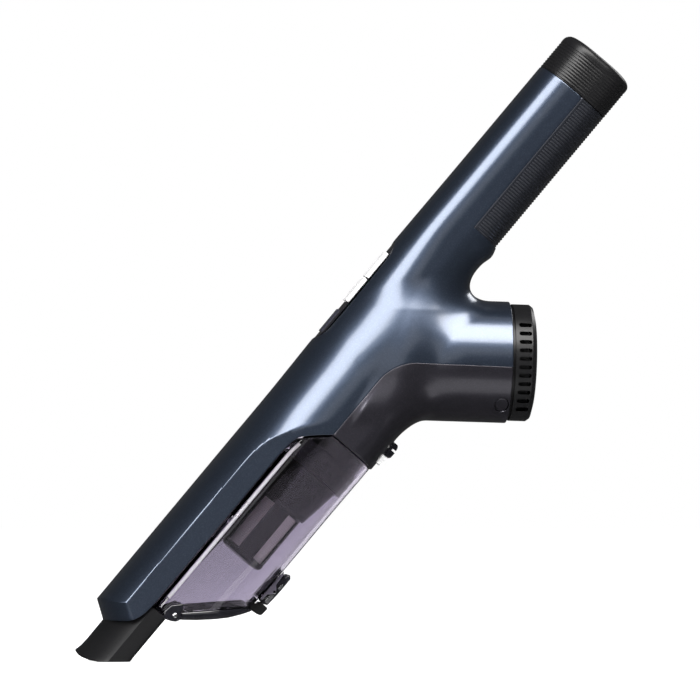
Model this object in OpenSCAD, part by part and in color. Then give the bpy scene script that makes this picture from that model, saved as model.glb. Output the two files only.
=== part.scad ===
// Slim cordless handheld vacuum, standing on the mouth of its nozzle.
// Row frame: +Z up, +X towards the exhaust, origin at the middle of the mouth's rim.
// Most pieces are drawn in the wand frame: z runs up the wand, x towards its rear.

/* [Wand] */
// Angle between the wand and the floor when the mouth lies flat
wand_angle = 50; // [49:0.5:51]
// Distance from the wand's middle line to its front face
front_reach = 20.6; // [20:0.1:21]
// Length from the wand's zero point to the top end of the battery cap
wand_top = 392.6; // [390:0.2:400]
// Half the width of the handle
handle_half = 20.6; // [20:0.1:21.5]
// Half the width of the casing over the motor
casing_half = 29.4; // [29:0.1:30]
// Thickness of the casing
wall = 2.2; // [1.8:0.1:2.4]

/* [Motor pod] */
// Radius of the round pod at the exhaust end
pod_radius = 30.4; // [30:0.1:31]
// Angle from the wand to the motor's axis
pod_angle = 51.8; // [50:0.2:53]
// Radius of the exhaust cap
cap_radius = 29.2; // [28.6:0.1:29.6]
// Number of slots up each side of the exhaust cap
vent_count = 11; // [7:1:11]

/* [Dust cup] */
// Distance from the wand's middle line to the cup's rear wall
cup_rear = 42.9; // [42:0.1:43.4]
// Half the width of the cup at its top
cup_half = 26; // [25:0.5:26.5]
// Thickness of the cup's clear wall
cup_wall = 1.8; // [1.5:0.1:2.2]
// Radius of the mesh shroud inside the cup
shroud_radius = 12; // [11:0.5:13]

/* [Nozzle] */
// Half the width of the mouth
mouth_half = 24.5; // [23:0.5:25]
// Thickness of the nozzle's wall
nozzle_wall = 2; // [1.6:0.1:2.4]

/* [Battery] */
// Radius of one cell
cell_radius = 10.6; // [9:0.1:10.8]
// Length of one cell
cell_length = 70; // [65:1:70]

/* [Hidden] */
$fn = 72;

ring_steps = 9;         // steps in each quarter of a section's outline
axis_offset = -5.5;     // where the wand's middle line meets the floor
far = 200;              // longer than anything that is cut

// Places along the wand
chin_z = 19.8;
cup_floor_z = 38.4;
nozzle_top_z = 37.6;
mating_z = 161;
cup_top_z = 160.2;
seam_x = 3;             // seam between the front and rear shells
skirt_x = 2;            // lower edge of the skirt over the cup
cup_front_x = 3;
belly_x = 43.8;           // rear wall of the casing under the motor
motor_seam_x = 16.4;    // seam between the rear shell and the motor shell
grip_z = [286, 370.5];
grip_depth = 0.9;
cap_z = 370.8;
panel_z = [192.5, 257];
panel_half = 10.8;
panel_x = 0.2 - front_reach;

// Sections across a piece: [z, front, front_mid, rear_mid, rear, half, front_power, rear_power]
casing_sections = [
  [14, 0.8 - front_reach, -7, 28, belly_x, casing_half - 2.8, 2.3, 2.6],
  [60, 1 - front_reach, -7, 28, belly_x, casing_half - 2, 2.3, 2.6],
  [140, 0.9 - front_reach, -6, 28, belly_x, casing_half - 0.4, 2.3, 2.6],
  [mating_z, 0.8 - front_reach, -4, 28, belly_x, casing_half, 2.3, 2.6],
  [184, 0.3 - front_reach, -4, 28, belly_x, casing_half, 2.3, 2.6],
  [200, -front_reach, -4, 24, 42, casing_half - 0.8, 2.3, 2.5],
  [222, -front_reach, -3, 14, 33, casing_half - 3, 2.4, 2.5],
  [246, 0.1 - front_reach, -2, 6, 24, casing_half - 6, 2.4, 2.5],
  [272, 0.3 - front_reach, -2, 2, front_reach, handle_half + 0.8, 2.5, 2.5],
  [300, 0.5 - front_reach, -2, 2, front_reach, handle_half, 2.5, 2.5],
  [380, 0.6 - front_reach, -2, 2, front_reach, handle_half, 2.5, 2.5]
];
belly_section = casing_sections[3];
handle_section = casing_sections[10];
cup_sections = [
  [cup_floor_z, cup_front_x, 6, 12, cup_rear - 3, cup_half - 2.4, 4, 2.3],
  [66, cup_front_x, 6, 13, cup_rear - 1, cup_half - 1.6, 4, 2.3],
  [80, cup_front_x, 6, 14, cup_rear - 0.4, cup_half - 1, 4, 2.3],
  [96, cup_front_x, 6, 14, cup_rear, cup_half - 0.6, 4, 2.4],
  [130, cup_front_x, 6, 14, cup_rear, cup_half - 0.2, 4, 2.4],
  [cup_top_z, cup_front_x, 6, 14, cup_rear + 0.3, cup_half, 4, 2.4]
];

// Door and latch
pin_place = [13.8, 41.6];
door_tilt = 44;         // angle from the door to the cup's cross-section
seam_height = 1;        // the cup's rim above the hinge pin
pin_radius = 1.2;
pin_fit = 0.05;
knuckle_radius = 2.6;
knuckle_half = 8;
hinge_boss_radius = 2.8;
hinge_boss = [for (a = [-110 : 20 : 70]) pin_place + hinge_boss_radius * [cos(a), sin(a)]];
// Room for the door's edge as it swings, in the door's own frame
door_swing_room = [[2.8, seam_height + 0.15], [2.8, 0], [2, -2], [0, -2.85], [-3, -2.85], [-3, -30],
                   [60, -30], [60, seam_height + 0.15]];
latch_place = [45.6, 83];

// Motor axis: heights are measured from the pod's open end, positive out of it
motor_place = [62.8, 246.9];
shaft_radius = 1.6;
fan_radius = 21;

// Arch of the casing over the cup's top corner
arch = [[skirt_x, 138], [2.6, 144], [4.1, 149], [motor_seam_x, mating_z]];
// Seam between the rear shell and the motor shell, from the arch to the exhaust
motor_seam = [[motor_seam_x, mating_z], [motor_seam_x, 195.8], [17.7, 204.4], [23.6, 213.8],
              [86, 261.6]];

// ---- frames ----
module wand() translate([axis_offset, 0, 0]) rotate([0, 90 - wand_angle, 0]) children();
module motor_frame() translate([motor_place.x, 0, motor_place.y]) rotate([0, pod_angle, 0]) children();
module door_frame() translate([pin_place.x, 0, pin_place.y]) rotate([0, -door_tilt, 0]) children();
// A slab whose side outline is a list of [x, z] points
module side_slab(points, width = far)
  rotate([90, 0, 0]) linear_extrude(width, center = true) polygon(points);
// An axle or disc along y
module cross_rod(r, width) rotate([90, 0, 0]) cylinder(r = r, h = width, center = true);

// ---- sections ----
function quarter(a, power) = pow(abs(a), 2 / power) * sign(a);
function outline(s, inset = 0) = [
  for (i = [0 : 4 * ring_steps - 1])
    let (a = 360 * (i + 0.5) / (4 * ring_steps), rear = cos(a) > 0,
         power = rear ? s[7] : s[6],
         mid = rear ? s[3] : s[2],
         reach = rear ? s[4] - s[3] - inset : s[2] - s[1] - inset)
    [mid + reach * quarter(cos(a), power), (s[5] - inset) * quarter(sin(a), power)]
];
function ring(s, inset = 0) = [for (p = outline(s, inset)) [p.x, p.y, s[0]]];
// Convex solid around rings that have the same number of points
module wrap(rings) {
  n = len(rings[0]);
  top = n * (len(rings) - 1);
  hull() polyhedron([for (r = rings) each r], concat(
    [[for (i = [0 : n - 1]) i], [for (i = [n - 1 : -1 : 0]) top + i]],
    [for (k = [0 : len(rings) - 2], i = [0 : n - 1]) let (j = (i + 1) % n)
      [k * n + i, k * n + n + i, k * n + n + j, k * n + j]]));
}
module chain(sections, inset = 0)
  for (i = [0 : len(sections) - 2]) wrap([ring(sections[i], inset), ring(sections[i + 1], inset)]);
function moved(s, z) = [z, s[1], s[2], s[3], s[4], s[5], s[6], s[7]];

// Outside of the casing, or its inside when inset is the wall
module pod_form(inset = 0) motor_frame() {
  hull() {
    translate([0, 0, -32]) cylinder(r = pod_radius - inset, h = inset > 0 ? 40 : 31);
    translate([0, 0, -1.2]) cylinder(r = pod_radius - 1 - inset, h = inset > 0 ? 5 : 1.2);
    translate([0, 0, -58]) cylinder(r = 24 - inset, h = 1);
  }
}
module notch_fillet(inset = 0)
  side_slab([[19, 247], [30 - inset, 262 - inset], [26 - inset, 262.6 - inset],
             [21.7 - inset, 265.6], [19, 269]], 26 - 2 * inset);
module casing_form(inset = 0) {
  chain(casing_sections, inset);
  pod_form(inset);
  notch_fillet(inset);
}
module casing_skin() difference() {
  casing_form();
  casing_form(wall);
}

// ---- casing ----
// Bosses under the roof for the duct's screws
module roof_bosses() intersection() {
  chain(casing_sections, 1);
  for (place = duct_screw_places) translate([-30, place.x, place.y]) rotate([0, 90, 0])
    cylinder(r = 3, h = 30 + tab_x[0]);
}
module front_shell() color([0.13, 0.17, 0.24]) wand() difference() {
  intersection() {
    union() {
      casing_skin();
      roof_bosses();
    }
    side_slab(concat([[-30, 30.6], [-10, chin_z], [-6.5, 21.2], [-2.6, 23.7], [0.9, 29.5],
                      [skirt_x, 38]], [arch[0], arch[1], [seam_x, 146], [seam_x, grip_z[1]],
                      [-30, grip_z[1]]]));
  }
  control_opening(0);
  for (place = duct_screw_places) translate([-13.5, place.x, place.y]) rotate([0, 90, 0])
    cylinder(r = screw_radius, h = 12);
}
module rear_shell() color([0.13, 0.17, 0.24]) wand() difference() {
  intersection() {
    casing_skin();
    side_slab(concat([[seam_x, 146], arch[2]], motor_seam,
                     [[86, grip_z[1]], [seam_x, grip_z[1]]]));
  }
  difference() {
    grip_zone();
    casing_form(grip_depth);
  }
}
module motor_shell() color([0.16, 0.16, 0.2]) wand() difference() {
  intersection() {
    casing_skin();
    side_slab(concat(motor_seam, [[100, 272], [100, mating_z]]));
  }
  release_hole();
}
module grip_zone() side_slab([[4.5, grip_z[0]], [30, grip_z[0]], [30, 380], [4.5, 380]]);
module grip_panel() color([0.07, 0.08, 0.11]) wand() intersection() {
  difference() {
    chain(casing_sections);
    chain(casing_sections, grip_depth);
  }
  side_slab([[4.5, grip_z[0]], [30, grip_z[0]], [30, grip_z[1]], [4.5, grip_z[1]]]);
}

// ---- nozzle and inlet ----
nozzle_rear = 11.4;
function nozzle_outline(inset) = concat(
  [for (i = [0 : 12]) let (a = 90 + 15 * i)
    [2.8 + (13.6 - inset) * quarter(cos(a), 2.6), (mouth_half - inset) * quarter(sin(a), 2.6)]],
  [[10 - inset / 2, inset - mouth_half], [nozzle_rear - inset, 1.4 + inset - mouth_half],
   [nozzle_rear - inset, mouth_half - 1.4 - inset], [10 - inset / 2, mouth_half - inset]]);
module nozzle() color([0.04, 0.04, 0.045]) difference() {
  wand() difference() {
    translate([0, 0, -20]) linear_extrude(nozzle_top_z + 20) polygon(nozzle_outline(0));
    translate([0, 0, -25]) linear_extrude(nozzle_top_z + 25 - nozzle_wall)
      polygon(nozzle_outline(nozzle_wall));
    // way on into the duct, and the raised front lip
    translate([-7, -15, 30]) cube([7, 30, 20]);
    side_slab([[-30, -30], [-2, -30], [-2, -3.2], [-9.4, -3.6], [-30, -1]]);
  }
  translate([-far / 2, -far / 2, -far]) cube([far, far, far]);
}
duct_x = [-15.4, 1.2];
duct_half = 17;
duct_top = 100;
module inlet_duct() color([0.08, 0.08, 0.09]) wand() difference() {
  union() {
    translate([duct_x[0], -duct_half, nozzle_top_z])
      cube([duct_x[1] - duct_x[0], 2 * duct_half, duct_top - nozzle_top_z]);
    for (place = duct_screw_places) translate([tab_x[0], -3.6, place.y - 3.6])
      translate([0, place.x, 0]) cube([tab_x[1] - tab_x[0], 7.2, 7.2]);
  }
  for (place = duct_screw_places) translate([-20, place.x, place.y]) rotate([0, 90, 0])
    cylinder(r = screw_radius, h = 30);
  translate([duct_x[0] + 1.6, 1.6 - duct_half, nozzle_top_z - 1])
    cube([duct_x[1] - duct_x[0] - 3.2, 2 * duct_half - 3.2, duct_top - nozzle_top_z - 0.6]);
  translate([-5, -9, 84]) cube([10, 18, 13]);
}
module inlet_flap() color([0.12, 0.12, 0.12]) wand()
  translate([duct_x[1], -10, 83]) cube([0.8, 20, 15]);
screw_radius = 1.3;
duct_screw_places = [for (y = [-20, 20], z = [52, 92]) [y, z]];
tab_x = [-4.5, -2.5];
module duct_screws() color("silver") wand() for (place = duct_screw_places)
  translate([-13.5, place.x, place.y]) rotate([0, 90, 0]) {
    cylinder(r = screw_radius, h = 13.5 + tab_x[1]);
    translate([0, 0, 13.5 + tab_x[1]]) cylinder(r = 2.6, h = 1.8);
  }

// ---- controls ----
button_z = [[217.8, 232.3], [233.3, 248.8]];
button_half = 8.6;
module capsule(z, half, x, depth) hull() for (end = [z[0] + half, z[1] - half])
  translate([x, 0, end]) rotate([0, 90, 0]) cylinder(r = half, h = depth, $fn = 48);
module control_opening(gap) capsule([panel_z[0] - gap, panel_z[1] + gap], panel_half + gap, -24, 9);
module control_bezel() color([0.03, 0.03, 0.035]) wand() difference() {
  intersection() {
    capsule(panel_z, panel_half, panel_x, 1.8);
    chain([belly_section, handle_section]);
  }
  for (z = button_z) button_block(z, 0.3, -25, 10);
  lens_block(0, -25, 10);
}
module button_block(z, gap, x, depth)
  translate([x, -button_half - gap, z[0] - gap])
    cube([depth, 2 * (button_half + gap), z[1] - z[0] + 2 * gap]);
module lens_block(gap, x, depth) translate([x, -4.5 - gap, 198 - gap])
  cube([depth, 9 + 2 * gap, 14 + 2 * gap]);
module power_button() color([0.8, 0.8, 0.82]) wand() button_block(button_z[1], 0, panel_x - 0.3, 2);
module mode_button() color([0.8, 0.8, 0.82]) wand() button_block(button_z[0], 0, panel_x - 0.3, 2);
module indicator_lens() color([0.1, 0.1, 0.12]) wand() lens_block(0, panel_x, 1.6);
board_x = -16.8;
module control_board() color([0.05, 0.3, 0.15]) wand()
  translate([board_x, -9, 196]) cube([1.4, 18, 56]);
module button_switches() color("dimgray") wand() for (z = button_z)
  translate([board_x - 0.7, -3, (z[0] + z[1]) / 2 - 3]) cube([0.7, 6, 6]);

// ---- air path ----
air_x = 24;
module air_bulkhead() color([0.1, 0.1, 0.11]) wand() difference() {
  intersection() {
    translate([0, 0, mating_z]) linear_extrude(2.4) polygon(outline(belly_section, wall));
    translate([cup_front_x + 3, -far / 2, mating_z - 1]) cube([far, far, 10]);
  }
  translate([air_x, 0, mating_z - 1]) cylinder(r = 13, h = 10);
}
module bulkhead_seal() color([0.15, 0.15, 0.15]) wand() difference() {
  translate([air_x, 0, cup_top_z + 0.1]) cylinder(r = 15.4, h = mating_z - cup_top_z - 0.1);
  translate([air_x, 0, cup_top_z - 1]) cylinder(r = 13, h = 5);
}
module along_motor(z, h, r, bore = 0) translate([0, 0, z]) difference() {
  cylinder(r = r, h = h);
  if (bore > 0) translate([0, 0, -1]) cylinder(r = bore, h = h + 2);
}
can_z = [-42, -14];
can_radius = 17;
module motor_can() color([0.6, 0.6, 0.62]) wand() motor_frame() difference() {
  along_motor(can_z[0], can_z[1] - can_z[0], can_radius);
  along_motor(can_z[0] + 2.4, can_z[1] - can_z[0] - 4.8, can_radius - 1.2);
  along_motor(can_z[0] - 1, 40, 4);
  for (a = [0 : 60 : 300]) rotate([0, 0, a]) translate([10, 0, can_z[0] - 1])
    cylinder(r = 2.4, h = 40);
}
module motor_mount() color([0.1, 0.1, 0.1]) wand() motor_frame() difference() {
  for (z = [-32, -19]) along_motor(z, 4, pod_radius - wall - 0.1, can_radius);
  for (a = [0 : 45 : 315]) rotate([0, 0, a]) translate([22.5, 0, -40]) cylinder(r = 3, h = 40);
}
module motor_stator() color([0.5, 0.3, 0.15]) wand() motor_frame()
  along_motor(-37, 18, can_radius - 1.2, 8.8);
module motor_bearings() color("silver") wand() motor_frame()
  for (z = [can_z[0], can_z[1] - 2.4]) along_motor(z, 2.4, 4, shaft_radius + pin_fit);
module motor_shaft() color("silver") wand() motor_frame() along_motor(-58, 48, shaft_radius);
module rotor_magnet() color("dimgray") wand() motor_frame() along_motor(-37, 18, 8, shaft_radius);
blades = 9;
module impeller() color([0.75, 0.75, 0.78]) wand() motor_frame() {
  difference() {
    translate([0, 0, -56]) rotate_extrude()
      polygon([[shaft_radius, 9], [shaft_radius, 0], [5, 0], [6, 4], [10, 6.8], [fan_radius, 7.8],
               [fan_radius, 9]]);
    along_motor(-60, 20, shaft_radius);
  }
  for (a = [0 : 360 / blades : 359]) rotate([0, 0, a]) translate([5, -0.6, -53])
    rotate([0, 0, 18]) cube([14.6, 1.2, 5.4]);
}
module fan_housing() color([0.12, 0.12, 0.13]) wand() motor_frame()
  translate([0, 0, -60]) rotate_extrude()
    polygon([[9, 0], [23.4, 0], [23.4, 14.5], [22, 14.5], [22, 1.6], [9, 1.6]]);
module exhaust_filter() color([0.85, 0.85, 0.8]) wand() motor_frame() along_motor(-9, 7, 25);
vent_pitch = 4.2;
vent_top = 18.8;
// Straight slot with round ends, cut right across the cap
module vent(height) translate([-height, 0, 5.4]) rotate([90, 0, 0])
  linear_extrude(far, center = true) polygon([
    for (side = [-1, 1], i = [0 : 6]) let (a = -90 + 30 * i)
      [side * sin(a), side * (2.25 + cos(a))]]);
module exhaust_cap() color([0.03, 0.03, 0.03]) wand() motor_frame() difference() {
  rotate_extrude() polygon([[0, 12.4], [16, 12.2], [24, 11.6], [28, 10.6], [cap_radius, 9],
    [cap_radius, 0.5], [27.9, 0.5], [27.9, -6], [26.4, -6], [26.4, 8.6], [24, 9.4], [0, 10]]);
  for (i = [0 : vent_count - 1]) vent(vent_top - vent_pitch * i);
}

// ---- cup release ----
release_z = [166, 179];
release_half = 8;
module release_hole() translate([belly_x - 10, -release_half - 0.3, release_z[0] - 0.3])
  cube([12, 2 * release_half + 0.6, release_z[1] - release_z[0] + 0.6]);
module release_button() color([0.05, 0.05, 0.06]) wand() {
  translate([belly_x - 2.6, -release_half, release_z[0]])
    cube([4.8, 2 * release_half, release_z[1] - release_z[0]]);
  translate([belly_x - 4.6, -3.4, release_z[0] + 3]) cube([2, 6.8, 7]);
}
module release_spring() color("silver") wand() translate([belly_x - 10.6, 0, 172.5]) rotate([0, 90, 0])
  difference() {
    cylinder(r = 3, h = 6);
    translate([0, 0, -1]) cylinder(r = 2.2, h = 8);
  }

// ---- dust cup ----
// What is cut from the cup's front top corner to follow the arch
module cup_corner(gap) side_slab([[-20, 130], [-20, far], [motor_seam_x + gap + 5, far],
  [motor_seam_x + gap + 5, mating_z + 5], [arch[2].x + gap + 0.3, arch[2].y - gap],
  [cup_front_x - 0.2, 140]]);
// Inside of the cup: from above its floor to past its open top
cup_hollow = [for (s = cup_sections)
  moved(s, s[0] == cup_floor_z ? s[0] + cup_wall : s[0] == cup_top_z ? s[0] + 2 : s[0])];
module dust_cup() color([0.45, 0.4, 0.5, 0.4]) wand() difference() {
  union() {
    difference() {
      chain(cup_sections);
      chain(cup_hollow, cup_wall);
      cup_corner(0.6);
      door_frame() side_slab(door_swing_room);
      side_slab([[9.4, 37.6], [40, 49.6], [40, 30], [9.4, 30]]);
      translate([-5, -9, 84]) cube([12, 18, 13]);
    }
    side_slab(concat([[9, 46.6], [9, cup_floor_z + 0.3]], hinge_boss), 29);
    for (y = [-1, 1]) translate([0, y * 8, 0])
      side_slab([[41.4, 78], [46.4, 80.5], [47.8, 83], [46.4, 85.5], [41.4, 88]], 1.6);
  }
  door_frame() {
    cross_rod(pin_radius, 28);
    cross_rod(knuckle_radius + 0.4, 2 * knuckle_half + 0.6);
    translate([0, -knuckle_half - 0.3, -9]) cube([9, 2 * knuckle_half + 0.6, 9.6]);
  }
  translate([latch_place.x, 0, latch_place.y]) cross_rod(pin_radius, 40);
}
module filter_frame() color([0.12, 0.11, 0.13]) wand() difference() {
  union() {
    intersection() {
      chain(cup_sections, cup_wall + 0.3);
      translate([0, -far / 2, 140]) cube([far, far, 12.5]);
      side_slab([[0, 100], [0, 141], [6, 149.5], [12, 155], [60, 155], [60, 100]]);
    }
    translate([air_x, 0, 150]) cylinder(r = 16.4, h = cup_top_z - 150);
    translate([air_x - 1.4, 0, 118.5]) cylinder(r1 = shroud_radius + 0.6, r2 = 16, h = 22);
  }
  translate([air_x, 0, 141.5]) cylinder(r = 14, h = 30);
  translate([air_x - 1.4, 0, 118]) cylinder(r1 = shroud_radius - 1.2, r2 = 13, h = 24);
}
module filter_seals() color([0.2, 0.2, 0.2]) wand() for (z = [145.4, 149]) intersection() {
  difference() {
    chain(cup_sections, cup_wall + 0.05);
    chain(cup_sections, cup_wall + 0.3);
  }
  side_slab([[0, z], [0, z + 1], [60, z + 1], [60, z]]);
  side_slab([[0, 100], [0, 141], [6, 149.5], [60, 200], [60, 100]]);
}
pleats = 28;
module pleated_filter() color([0.9, 0.9, 0.88]) wand() translate([air_x, 0, 142]) linear_extrude(16)
  difference() {
    polygon([for (i = [0 : 2 * pleats - 1]) let (r = i % 2 == 0 ? 13.6 : 10.4, a = 180 * i / pleats)
      [r * cos(a), r * sin(a)]]);
    circle(r = 7);
  }
shroud_x = 21.6;
module shroud() color([0.1, 0.1, 0.11]) wand() translate([shroud_x, 0, 87]) difference() {
  cylinder(r = shroud_radius, h = 31.5);
  translate([0, 0, 1.4]) cylinder(r = shroud_radius - 1.4, h = 40);
  for (a = [45 : 90 : 315]) rotate([0, 0, a]) translate([3, -4.6, 2]) cube([20, 9.2, 28]);
}
module mesh_screen() color([0.6, 0.55, 0.5]) wand() translate([shroud_x, 0, 88.4]) difference() {
  cylinder(r = shroud_radius - 1.5, h = 30);
  translate([0, 0, -1]) cylinder(r = shroud_radius - 1.9, h = 40);
}

// ---- cup door ----
module door_slice(inset) intersection() {
  chain(cup_sections, inset);
  door_frame() translate([5, -far / 2, seam_height - 0.5]) cube([far, far, 0.3]);
}
module door_plug(inset, height) hull() {
  door_slice(inset);
  door_frame() translate([-height / 6, 0, height]) rotate([0, door_tilt, 0])
    translate([-pin_place.x, 0, -pin_place.y]) door_slice(inset);
}
module cup_door() color([0.05, 0.05, 0.06]) wand() difference() {
  union() {
    intersection() {
      chain(cup_sections);
      door_frame() side_slab([[3.1, seam_height], [60, seam_height], [43, -0.6], [35, -2.6], [24, -3.9],
                              [10, -3.6], [3.1, -2.8]]);
    }
    door_plug(cup_wall + 1.6, 4.5);
    door_frame() cross_rod(knuckle_radius, 2 * knuckle_half);
    door_frame() translate([0, -knuckle_half, -2.6]) cube([4, 2 * knuckle_half, 3]);
    door_frame() side_slab([[36, -2.4], [44.6, -2.8], [46.5, -1.6], [46.5, 0.6], [36, 0.6]], 12);
  }
  door_frame() cross_rod(pin_radius + pin_fit, 40);
}
module door_seal() color([0.25, 0.25, 0.25]) wand() difference() {
  intersection() {
    chain(cup_sections, cup_wall + 0.6);
    door_frame() side_slab([[4.8, seam_height + 0.15], [60, seam_height + 0.15],
                            [60, seam_height + 1.1], [4.8, seam_height + 1.1]]);
  }
  chain(cup_sections, cup_wall + 1.45);
}
module door_hinge_pin() color("silver") wand() door_frame() cross_rod(pin_radius, 28);
module latch_frame() wand() translate([latch_place.x, 0, latch_place.y]) children();
module door_latch() color([0.06, 0.06, 0.07]) latch_frame() difference() {
  union() {
    side_slab([[0, 11], [1.6, 11.5], [2.4, 9], [2.2, 0], [2.2, -7.4], [0.6, -7.4], [-0.8, -3]], 13);
    cross_rod(2.4, 13);
  }
  cross_rod(pin_radius + pin_fit, 40);
}
module latch_pin() color("silver") latch_frame() cross_rod(pin_radius, 17.6);
module latch_spring() color("silver") wand() translate([latch_place.x - 1.65, 0, latch_place.y + 6])
  rotate([0, -90, 0]) difference() {
    cylinder(r = 1.8, h = 0.9);
    translate([0, 0, -1]) cylinder(r = 1.1, h = 8);
  }

// ---- battery ----
case_radius = cell_radius + 2;
bay_z = [244, 368];
module battery_bay() color([0.14, 0.14, 0.15]) wand() translate([0, 0, bay_z[0]]) difference() {
  union() {
    cylinder(r = case_radius + 2, h = bay_z[1] - bay_z[0]);
    for (z = [30, 76, 121]) translate([0, 0, z]) cylinder(r = 17.6, h = 2);
  }
  translate([0, 0, 2]) cylinder(r = case_radius + 0.4, h = far);
}
module contact_block() color([0.1, 0.1, 0.1]) wand()
  translate([-6, -8, bay_z[0] + 2]) cube([12, 16, 2]);
module battery_case() color([0.09, 0.09, 0.1]) wand() translate([0, 0, bay_z[0] + 5.2]) difference() {
  cylinder(r = case_radius, h = cap_z - bay_z[0] - 5.2);
  translate([0, 0, 1.4]) cylinder(r = cell_radius + 0.5, h = far);
}
module battery_cells() color([0.2, 0.45, 0.6]) wand()
  for (i = [0, 1]) translate([0, 0, bay_z[0] + 6.8 + i * (cell_length + 0.4)]) {
    cylinder(r = cell_radius, h = cell_length - 1);
    cylinder(r = 4, h = cell_length);
  }
module battery_terminals() color("gold") wand() for (y = [-1, 1])
  translate([-1, y * 4 - 1, bay_z[0] + 4.3]) cube([2, 2, 0.9]);
// How far the cap's end is drawn in at each height
cap_rounding = [[cap_z, 0], [wand_top - 4, 0], [wand_top - 1, 1], [wand_top, 3.5]];
module battery_cap() color([0.03, 0.03, 0.035]) wand() difference() {
  wrap([for (p = cap_rounding) let (s = handle_section)
    ring([p[0], s[1] + p[1], s[2], s[3], s[4] - 1.6 * p[1], s[5] - p[1], s[6], s[7]])]);
  translate([0, 0, cap_z - 1]) cylinder(r = cell_radius + 0.6, h = 21.8);
}
module wire(a, b, r = 0.9) {
  d = b - a;
  translate(a) rotate([0, atan2(norm([d.x, d.y]), d.z), atan2(d.y, d.x)])
    cylinder(r = r, h = norm(d) + r / 2);
}
module wiring() color("firebrick") wand()
  for (y = [-2, 2]) wire([-4.6, y, bay_z[0] - 0.6], [-14.2, y, 226]);

front_shell();
rear_shell();
motor_shell();
grip_panel();
nozzle();
inlet_duct();
inlet_flap();
duct_screws();
control_bezel();
power_button();
mode_button();
indicator_lens();
control_board();
button_switches();
air_bulkhead();
bulkhead_seal();
motor_can();
motor_mount();
motor_stator();
motor_bearings();
motor_shaft();
rotor_magnet();
impeller();
fan_housing();
exhaust_filter();
exhaust_cap();
release_button();
release_spring();
dust_cup();
filter_frame();
filter_seals();
pleated_filter();
shroud();
mesh_screen();
cup_door();
door_seal();
door_hinge_pin();
door_latch();
latch_pin();
latch_spring();
battery_bay();
contact_block();
battery_case();
battery_cells();
battery_terminals();
battery_cap();
wiring();
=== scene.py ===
import math
import bpy
import bmesh
import numpy as np
from mathutils import Matrix, Vector


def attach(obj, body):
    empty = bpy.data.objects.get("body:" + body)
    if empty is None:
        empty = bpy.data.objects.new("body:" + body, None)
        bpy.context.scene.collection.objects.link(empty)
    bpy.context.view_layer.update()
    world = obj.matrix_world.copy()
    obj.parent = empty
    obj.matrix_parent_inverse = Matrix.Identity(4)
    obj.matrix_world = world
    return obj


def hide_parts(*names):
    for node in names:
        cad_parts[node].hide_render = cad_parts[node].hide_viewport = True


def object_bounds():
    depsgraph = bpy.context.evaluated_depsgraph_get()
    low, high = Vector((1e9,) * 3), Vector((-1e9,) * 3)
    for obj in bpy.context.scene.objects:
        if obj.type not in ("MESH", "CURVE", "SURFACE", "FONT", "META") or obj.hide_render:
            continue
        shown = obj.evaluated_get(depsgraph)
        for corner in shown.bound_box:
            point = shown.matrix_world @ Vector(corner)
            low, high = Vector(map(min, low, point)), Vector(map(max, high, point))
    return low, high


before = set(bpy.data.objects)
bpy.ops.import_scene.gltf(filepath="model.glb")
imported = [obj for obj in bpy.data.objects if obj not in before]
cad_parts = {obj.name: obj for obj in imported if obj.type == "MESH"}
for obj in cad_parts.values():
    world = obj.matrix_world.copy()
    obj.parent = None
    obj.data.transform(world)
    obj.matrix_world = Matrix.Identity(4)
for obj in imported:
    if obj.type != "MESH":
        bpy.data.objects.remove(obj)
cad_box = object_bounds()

# All shapes are drawn in millimetres in the wand frame: x towards the rear, z up the wand. The part's
# frame has the wand leaning by TILT, and its axis meets the ground at AXIS_X.
MM = 0.001
TILT = math.radians(50)
CT, ST = math.cos(TILT), math.sin(TILT)
AXIS_X = -5.5


def to_part(p):
    p = np.asarray(p, float)
    return np.stack([AXIS_X + p[..., 2] * CT + p[..., 0] * ST, p[..., 1],
                     p[..., 2] * ST - p[..., 0] * CT], -1)


def to_wand(p):
    p = np.asarray(p, float)
    a = p[..., 0] - AXIS_X
    return np.stack([a * ST - p[..., 2] * CT, p[..., 1], a * CT + p[..., 2] * ST], -1)


# ------------------------------------------------------------------ materials
def ramp_color(c, k):
    return (min(c[0] * k, 1), min(c[1] * k, 1), min(c[2] * k, 1), 1)


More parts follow.
